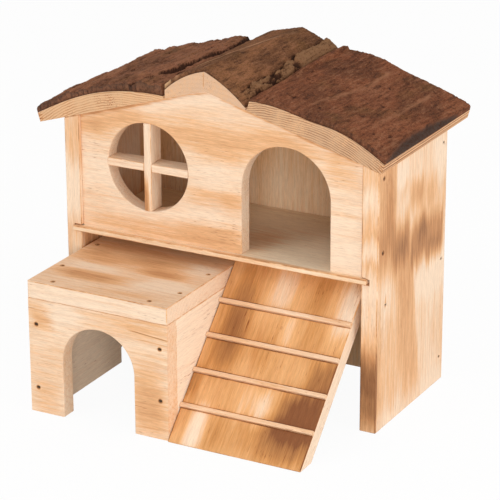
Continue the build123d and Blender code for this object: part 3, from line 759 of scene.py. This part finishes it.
# ---- Roof: the slabs and their bark ----
def slope_axes(side):
    """Direction down one slope and direction up off it; side 0 is the ridge slab's level section."""
    if side == 0:
        return Vector((1, 0, 0)), Vector((0, 0, 1))
    angle = PITCH[side]
    return Vector((side * cos(angle), 0, -sin(angle))), Vector((side * sin(angle), 0, cos(angle)))


def on_slope(side, u, rise, y):
    """A point in millimetres from the ridge line: u down the slope, rise off it, y behind the front edge."""
    down, up = slope_axes(side)
    return Vector((0, ROOF_FRONT + y, RIDGE_HEIGHT)) + down * u + up * rise


TAPER = {-1: (62, 48, 0.23), 1: (83, 30, 0.32)}  # where each side slab thins most towards the rear, and by how much


def taper(side, u, rise, y):
    """The logs are slimmer at the rear, and the ridge log's crown leans a little to the right there."""
    share = y / ROOF_DEPTH
    if side:
        middle, reach, depth = TAPER[side]
        return u, rise * (1 - depth * share * max(0.0, 1 - ((u - middle) / reach) ** 2))
    base = -abs(u) * sin(PITCH[1])
    lean = 1 - min(1.0, (u / 24.5) ** 2)
    return u + 2.0 * share * lean, base + (rise - base) * (1 - 0.33 * share * lean)


def shape_slab(piece, side):
    """Gives a slab its taper towards the rear."""
    down, up = slope_axes(side)
    origin = Vector((0, ROOF_FRONT, RIDGE_HEIGHT))
    for vertex in piece.data.vertices:
        offset = vertex.co / MM - origin
        u, rise, y = offset.dot(down), offset.dot(up), offset.y
        floor = 0.0 if side else -abs(u) * sin(PITCH[1])
        if rise > floor + 0.6:
            u, rise = taper(side, u, rise, y)
            vertex.co = on_slope(side, u, rise, y) * MM
    piece.data.update()


def streaky(u, y, width, run, seed, octaves=3):
    """Noise drawn out along the log, from about -1 to 1."""
    return noise.fractal(Vector((u / width, y / run, seed)), 1.0, 2.0, octaves)


def soft_step(value, low, high):
    """0 below low, 1 above high and smooth between."""
    share = min(1.0, max(0.0, (value - low) / (high - low)))
    return share * share * (3 - 2 * share)


BARK_MARKS = ("relief", "crust", "rub", "cut", "bare")


def band(value, centre, half):
    """1 at a line and 0 at its sides."""
    return max(0.0, 1 - abs(value - centre) / half)


def rough(u, y, seed):
    """Fine roughness of the bark, from about -1 to 1."""
    return 0.6 * streaky(u, y, 1.1, 5.5, seed, 4) + 0.5 * streaky(u, y, 1.0, 1.7, seed + 6, 3)


def left_bark(u, y, step, grit):
    """Bark of the left slab: long scales, and a torn plate edge beside the ridge slab."""
    thick = 3.2 + 3.4 * soft_step(-u, -60, -29)
    height = 1.6 * streaky(u, y, 7.0, 46, 3.1, 4)
    level = floor(height * 2.2)
    share = height * 2.2 - level
    scales = (level + soft_step(share, 0.0, 0.16) + 0.25 * share) / 2.2
    crack = band(share, 0.0, 0.14) * soft_step(streaky(u, y, 9, 12, 6.6, 3), -0.5, 0.1)
    fine = streaky(u, y, 2.2, 16, 4.7, 3)
    edge = 30 + 15.5 * exp(-y / 36) + 1.3 * streaky(y, 0, 13, 10, 2.2, 3)
    beside = 1 - soft_step(u, edge - 0.6, edge + 0.5)
    groove = 2.1 * band(u, edge - 0.6, 1.3) * soft_step(streaky(y, 3, 16, 10, 6.1), -0.9, -0.3)
    second = 34.5 + 0.12 * (y - 50) + 0.8 * streaky(y, 0, 8, 10, 7.9)
    groove += 0.7 * band(u, second + 3.2, 0.8) * soft_step(y, 40, 52) * soft_step(-y, -96, -84)
    groove += 1.3 * crack
    thick += step * 1.4 * scales + 0.32 * fine + grit * rough(u, y, 5.3)
    thick -= beside * (1.0 + 1.3 * soft_step(y, 4, 30)) + groove
    # the groove, and the low ground beside the torn plate edge, are painted darker as well as cut lower: painted shade
    # in the gaps
    relief = 0.53 + 0.16 * scales + 0.2 * fine + 0.3 * streaky(u, y, 1.6, 24, 13.7, 3) - 0.75 * groove - 0.08 * beside + 0.2 * rough(u, y, 5.3)
    return thick, dict(relief=relief, rub=0.35 * soft_step(scales, 0.5, 0.9))


def right_bark(u, y, step, grit):
    """Bark of the right slab: even and fine-grained, with two rubbed lines and a lip at the ridge."""
    thick = 1.5 + 1.9 * soft_step(u, 30, 96)
    waves = streaky(u, y, 11, 30, 8.3, 3)
    fine = streaky(u, y, 2.6, 9, 9.9, 4)
    first = 54 + 8.5 * soft_step(y, 8, 70) + 0.8 * streaky(y, 0, 9, 10, 3.3)
    second = 88.6 + 0.02 * y + 0.5 * streaky(y, 0, 12, 10, 4.1)
    torn = 108.6 - 4.6 * soft_step(y, -4, 34) * soft_step(-y, -100, -56) + 0.5 * streaky(y, 0, 8, 10, 5.7, 3)
    torn = soft_step(u, torn, torn + 0.9)
    lines = band(u, first, 1.9) * soft_step(y, 8, 20) * soft_step(-y, -104, -92)
    lines += band(u, second, 2.0) * soft_step(y, 14, 34) * soft_step(-y, -98, -84)
    lip_edge = 29.2 + 1.6 * soft_step(y, 60, 100) + 0.9 * streaky(y, 0, 6, 10, 1.7)
    lip = (1 - soft_step(u, lip_edge - 1.6, lip_edge + 0.5)) * soft_step(y, 36, 62)
    pits = soft_step(streaky(u, y, 3.0, 4.2, 12.4, 2), 0.42, 0.62)
    thick += 0.3 * waves + step * 0.22 * fine + grit * rough(u, y, 6.6) + 1.9 * lip - 0.35 * pits - 0.12 * lines
    thick -= torn * 2.4
    relief = 0.56 + 0.12 * waves + 0.2 * fine - 0.35 * pits + 0.16 * rough(u, y, 6.6)
    return thick, dict(relief=relief, rub=lines * (0.6 + 0.6 * waves), cut=torn)


def ridge_bark(u, y, step, grit):
    """Bark of the ridge slab: a scraped line on its crest, and old jagged crust along its right seam."""
    thick = 2.3 + 0.8 * soft_step(-u, 4, 24) - 0.5 * soft_step(u, 4, 24)
    waves = streaky(u, y, 5, 26, 7.7, 3)
    fine = streaky(u, y, 1.8, 8, 8.1, 4)
    crest = -17 + 0.19 * y + 0.5 * streaky(y, 0, 14, 10, 2.9)
    scrape = band(u, crest, 2.3) * soft_step(streaky(y, 1, 26, 10, 5.5), -0.7, -0.1) * soft_step(-y, -102, -88)
    inner = 19.4 - 3.2 * soft_step(y, 38, 92) + 1.3 * streaky(y, 0, 7, 10, 8.8, 4)
    crust = soft_step(u, inner - 0.3, inner + 0.9) * soft_step(y, 1, 10)
    old = soft_step(y, 58, 76)
    lumps = soft_step(streaky(u, y, 2.6, 8.5, 11.3, 4), -0.42, 0.2)
    jagged = 0.5 + (3.1 + 0.9 * streaky(u, y, 1.4, 6, 5.2, 3)) * lumps * (1 - old) + old * (3.0 + 0.5 * streaky(u, y, 4, 12, 9.4, 3) + 0.4 * streaky(u, y, 1.5, 10, 9.9, 3))
    crevice = band(u, inner - 0.9, 1.5) * soft_step(y, 2, 14) * soft_step(streaky(y, 5, 9, 10, 4.6), -0.5, 0.2)
    thick += step * 0.5 * waves + 0.22 * fine + grit * rough(u, y, 7.1) + crust * jagged - 1.2 * crevice
    # the crevice, and the hollows between the crust's lumps, are painted darker as well as cut lower: painted shade in
    # them
    relief = 0.55 + 0.2 * waves + 0.2 * fine - 0.75 * crevice + 0.16 * rough(u, y, 7.1)
    relief -= crust * (1 - old) * 0.8 * (1 - lumps)
    torn = 1.2 * streaky(u, y, 2.0, 2.6, 3.9, 3)
    bare = soft_step(torn - u, 19.8, 21.0) * soft_step(torn - y, -4.2, -2.8)
    return thick, dict(relief=relief, crust=crust, rub=scrape, bare=max(bare, 0.3 * scrape))


BARK = {-1: left_bark, 0: ridge_bark, 1: right_bark}


def bark_sheet(side, node, name, cell, step, grit):
    """A sheet of bark with its relief, closed underneath, on the wood of one slab."""
    source = frame["nodes"][node]
    tree = BVHTree.FromPolygons(
        [tuple(v.co / MM) for v in source.data.vertices], [tuple(p.vertices) for p in source.data.polygons]
    )
    down, up = slope_axes(side)
    origin = Vector((0, ROOF_FRONT, RIDGE_HEIGHT))
    spread = [(v.co / MM - origin).dot(down) for v in source.data.vertices]
    u0, u1 = min(spread) + 0.05, max(spread) - 0.05
    columns, rows = int((u1 - u0) * MM / cell), int(ROOF_DEPTH * MM / cell)
    bpy.ops.object.select_all(action="DESELECT")
    bpy.ops.mesh.primitive_grid_add(x_subdivisions=columns, y_subdivisions=rows, size=2.0, location=(0, 0, 0))
    piece = bpy.context.active_object
    piece.name = piece.data.name = name
    bpy.ops.object.mode_set(mode="EDIT")
    bpy.ops.mesh.select_all(action="SELECT")
    bpy.ops.mesh.extrude_region_move(TRANSFORM_OT_translate={"value": (0, 0, -0.5)})
    bpy.ops.mesh.select_all(action="SELECT")
    bpy.ops.mesh.normals_make_consistent(inside=False)
    bpy.ops.object.mode_set(mode="OBJECT")
    wood = {}
    mesh = piece.data
    for mark in BARK_MARKS:
        mesh.attributes.new(mark, "FLOAT", "POINT")
    marks = {mark: mesh.attributes[mark].data for mark in BARK_MARKS}
    for vertex in mesh.vertices:
        share = (vertex.co.x + 1) / 2
        u, y = u0 + (u1 - u0) * share, ROOF_DEPTH * (vertex.co.y + 1) / 2
        key = round(share, 5)
        if key not in wood:
            hit = tree.ray_cast(on_slope(side, u, -40, ROOF_DEPTH / 2), up)[0]
            wood[key] = (hit - origin).dot(up)
        rise = wood[key]
        if vertex.co.z < -0.1:
            marks["relief"][vertex.index].value = 0.12
        else:
            thick, values = BARK[side](u, y, step / MM, grit / MM)
            corner = min(1.0, max(0.0, (u1 - u) / 1.8)) if side else 1.0
            if side:
                corner *= 0.45 + 0.55 * min(1.0, ((u1 - u) / 9) ** 2 + ((ROOF_DEPTH - y) / 9) ** 2) ** 0.5
            corner *= min(1.0, 0.6 + 0.5 * min(y, ROOF_DEPTH - y))
            rise += max(0.4, thick) * (0.55 + 0.45 * (1 - (1 - corner) ** 2) ** 0.5)
            for mark, value in values.items():
                marks[mark][vertex.index].value = min(1.0, max(0.0, value))
            if y < 0.01 or y > ROOF_DEPTH - 0.01:
                inset = max(0.0, 0.25 + 0.3 * streaky(u, 0, 5, 10, 3.3 + side, 3))
                y += inset if y < 1 else -inset
                shown = 0.7 if side < 0 else 0.35
                marks["cut"][vertex.index].value = shown * (1 - marks["bare"][vertex.index].value)
        u, rise = taper(side, u, rise, y)
        if side == 0:
            rise = min(rise, CAD_BOX[1][2] / MM - RIDGE_HEIGHT - 0.05)
        if side:
            u = min(u, (EAVE - rise * sin(PITCH[side])) / cos(PITCH[side]))
        vertex.co = on_slope(side, u, rise, y) * MM
    mesh.update()
    return piece


RIDGE_STROKES = [
    (-0.6, 183.6, 0.22, 4.1, 0, 0.7, 0.7, 0.3),  # drying crack down from the crown
]


def eave_strokes(side):
    """Two dark growth rings that come out on a slab's sawn eave, and the toasted face between them."""
    strokes = []
    for rise, reach, half, weight in ((1.6, 2.2, 0.34, 0.8), (3.7, 2.2, 0.34, 0.8), (2.6, 0.6, 5.0, 0.24)):
        place = on_slope(side, 108.8, rise, 0)
        strokes.append((place.x, place.z, reach, half, side * degrees(PITCH[side]), weight, 0.3, 0.7))
    return strokes


class HOUSE_OT_slabs(bpy.types.Operator):
    """Shape the three sawn roof slabs and show the growth rings on their ends"""

    bl_idname = "hamster_house.slabs"
    bl_label = "Finish the roof slabs"

    def execute(self, context):
        for side, node, name, width, rings, pale, late in (
            (-1, "roof_slab_left", "left_slab_wood", 1.35, 0.8, linear(223, 182, 141), linear(204, 156, 113)),
            (0, "roof_slab_ridge", "ridge_slab_wood", 2.4, 0.12, linear(217, 180, 149), None),
            (1, "roof_slab_right", "right_slab_wood", 1.25, 0.95, linear(206, 167, 131), linear(170, 132, 101)),
        ):
            piece = copy_of(node, name)
            shape_slab(piece, side)
            low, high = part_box(node)
            middle = (low + high) / 2 / MM
            if side:
                centre = on_slope(side, 71, 10 - 105, 0)
            else:
                centre = Vector((0, 0, RIDGE_HEIGHT - 60))
            offset = Euler(GRAIN["Y"]).to_matrix() @ Vector((centre.x - middle.x, 0, centre.z - middle.z))
            look = dict(grain="Y", face="XZ", pith=(0, offset.y, offset.z), ring_width=width, wander=3.0, feather=0.0,
                        strokes=eave_strokes(side) if side else RIDGE_STROKES,
                        seed=40.0 + side * 3, level=0.05, rings=rings, dashes=0.8, pale=pale, latewood=late)
            finish_piece(piece, "roof", pine(f"Sawn {name}", node, **look), node)
        return {"FINISHED"}


class HOUSE_OT_bark(bpy.types.Operator):
    """Grow the rough bark on the three slabs"""

    bl_idname = "hamster_house.bark"
    bl_label = "Grow the bark"

    def execute(self, context):
        bark = context.scene.hamster_house_bark
        for side, node, name, main in (
            (-1, "bark_left", "left_bark_sheet", bark.worn_brown),
            (0, "bark_ridge", "ridge_bark_sheet", bark.olive_brown),
            (1, "bark_right", "right_bark_sheet", bark.red_brown),
        ):
            cell = bark.cell * 1.0
            piece = bark_sheet(side, node, name, cell, bark.plate_step, bark.grit)
            material = bark_material(f"Bark {name}", main, 11.0 + 4 * side)
            finish_piece(piece, "roof", material, node, flat=False)
        return {"FINISHED"}


class HOUSE_OT_brads(bpy.types.Operator):
    """Give the sunk brads their dull steel"""

    bl_idname = "hamster_house.brads"
    bl_label = "Finish the brads"

    def execute(self, context):
        material, t, shader = new_material("Dull Brad Steel")
        spots = t.noise(t.vector("MULTIPLY", millimetres(t), (1.4, 1.4, 1.4)), 0.0, 3.0)
        t.feed(shader.inputs["Base Color"], t.mix(spots, linear(48, 38, 32), linear(104, 86, 70)))
        t.feed(shader.inputs["Roughness"], t.remap(spots, 0.3, 0.7, 0.4, 0.6))
        shader.inputs["Metallic"].default_value = 0.8
        for node in ("front_panel_brads", "back_panel_brads", "porch_front_brads", "porch_top_brads",
                     "porch_link_brad", "ramp_brads", "roof_brads"):
            mesh = frame["nodes"][node].data
            mesh.materials.clear()
            mesh.materials.append(material)
        return {"FINISHED"}


# ---- Studio ----
def lamp(name, place, target, size, power, tone=(1.0, 1.0, 1.0)):
    """A soft square lamp that faces a point."""
    place, target = Vector(place), Vector(target)
    turn = (target - place).to_track_quat("-Z", "Y").to_euler()
    bpy.ops.object.light_add(type="AREA", location=place, rotation=turn)
    made = bpy.context.active_object
    made.name = name
    made.data.shape = "SQUARE"
    made.data.size = size
    made.data.energy = power
    made.data.color = tone
    return made


def seen_directly(t):
    """1 for the camera's own rays and for what shows in gloss or glass, and 0 for the light on things."""
    path = t.add("ShaderNodeLightPath").outputs
    seen = t.math("ADD", path["Is Camera Ray"], path["Is Glossy Ray"])
    return t.math("ADD", seen, path["Is Transmission Ray"], clamp=True)


class HOUSE_OT_stage(bpy.types.Operator):
    """Set up the pale floor, the white surroundings, the lamps and the camera"""

    bl_idname = "hamster_house.stage"
    bl_label = "Set up the studio"

    def execute(self, context):
        scene = context.scene
        studio = scene.hamster_house_studio
        bpy.ops.object.select_all(action="DESELECT")
        bpy.ops.mesh.primitive_grid_add(x_subdivisions=8, y_subdivisions=8, size=9.0, location=(0, 0, -0.0002))
        floor = context.active_object
        floor.name = "studio_floor"
        material = bpy.data.materials.new("Pale Studio Floor")
        material.use_nodes = True
        material.node_tree.nodes.clear()
        t = Tree(material.node_tree)
        patches = t.noise(t.vector("MULTIPLY", t.add("ShaderNodeTexCoord").outputs["Object"], (3.0, 3.0, 3.0)))
        tone = t.mix(t.remap(patches, 0.3, 0.7), tuple(studio.floor), linear(248, 247, 246))
        matt = t.add("ShaderNodeBsdfDiffuse", {"Color": tone}).outputs[0]
        white = t.add("ShaderNodeEmission", {"Color": (1.0, 1.0, 1.0), "Strength": 1.0}).outputs[0]
        share = t.math("MULTIPLY", seen_directly(t), 0.95)
        mixed = t.add("ShaderNodeMixShader", {0: share, 1: matt, 2: white}).outputs[0]
        t.add("ShaderNodeOutputMaterial", {"Surface": mixed})
        floor.data.materials.append(material)

        world = bpy.data.worlds.new("White Studio")
        scene.world = world
        world.use_nodes = True
        world.node_tree.nodes.clear()
        t = Tree(world.node_tree)
        strength = t.remap(seen_directly(t), 0.0, 1.0, studio.sky, 1.0, "LINEAR")
        sky = t.add("ShaderNodeBackground", {"Color": (1.0, 1.0, 1.0), "Strength": strength}).outputs[0]
        t.add("ShaderNodeOutputWorld", {"Surface": sky})

        lamp("key_lamp", (-0.9, -1.3, 1.3), (0, 0, 0.08), 0.9, studio.key_power, (1.0, 0.985, 0.96))
        lamp("side_lamp", (1.5, -0.2, 0.8), (0, 0, 0.08), 0.9, studio.side_power)
        lamp("front_lamp", (0.85, -1.4, 0.32), (0, 0, 0.06), 0.7, studio.front_power)
        lamp("top_lamp", (0.0, 0.2, 1.6), (0, 0, 0.1), 1.1, studio.top_power)

        turn = (Matrix.Rotation(radians(28.44), 4, "Z") @ Matrix.Rotation(radians(90 - 20.67), 4, "X")
                @ Matrix.Rotation(radians(-0.21), 4, "Z"))
        bpy.ops.object.camera_add(location=(0.6171, -1.1127, 0.5593), rotation=turn.to_euler())
        camera = context.active_object
        camera.name = "studio_camera"
        camera.data.sensor_width = 36.0
        camera.data.lens = 177.36
        camera.data.shift_x = -0.0021
        camera.data.shift_y = 0.0007
        camera.data.clip_start = 0.05
        camera.data.clip_end = 50.0
        scene.camera = camera
        scene.view_settings.view_transform = "Standard"
        return {"FINISHED"}


class HOUSE_PT_panel(bpy.types.Panel):
    """The steps that finish the hamster house, with their settings"""

    bl_label = "Hamster House"
    bl_idname = "HOUSE_PT_panel"
    bl_space_type = "VIEW_3D"
    bl_region_type = "UI"
    bl_category = "Hamster House"

    def draw(self, context):
        for title, settings, steps in (
            ("Wood", "hamster_house_wood", ("boards", "strips", "slabs", "brads")),
            ("Bark", "hamster_house_bark", ("bark",)),
            ("Studio", "hamster_house_studio", ("stage",)),
        ):
            box = self.layout.box()
            box.label(text=title)
            group_of = getattr(context.scene, settings)
            for name in type(group_of).__annotations__:
                box.prop(group_of, name)
            for step in steps:
                box.operator(f"hamster_house.{step}")


SETTINGS = {
    "hamster_house_wood": HouseWoodSettings,
    "hamster_house_bark": HouseBarkSettings,
    "hamster_house_studio": HouseStudioSettings,
}
STEPS = (HOUSE_OT_boards, HOUSE_OT_strips, HOUSE_OT_slabs, HOUSE_OT_bark, HOUSE_OT_brads, HOUSE_OT_stage)


def register():
    for cls in (*SETTINGS.values(), *STEPS, HOUSE_PT_panel):
        bpy.utils.register_class(cls)
    for name, cls in SETTINGS.items():
        setattr(bpy.types.Scene, name, PointerProperty(type=cls))


def unregister():
    for name in SETTINGS:
        delattr(bpy.types.Scene, name)
    for cls in reversed((*SETTINGS.values(), *STEPS, HOUSE_PT_panel)):
        bpy.utils.unregister_class(cls)


def main():
    """Runs every step in order."""
    register()
    bpy.ops.hamster_house.boards()
    bpy.ops.hamster_house.strips()
    bpy.ops.hamster_house.slabs()
    bpy.ops.hamster_house.bark()
    bpy.ops.hamster_house.brads()
    bpy.ops.hamster_house.stage()
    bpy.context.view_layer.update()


if __name__ == "__main__":
    main()
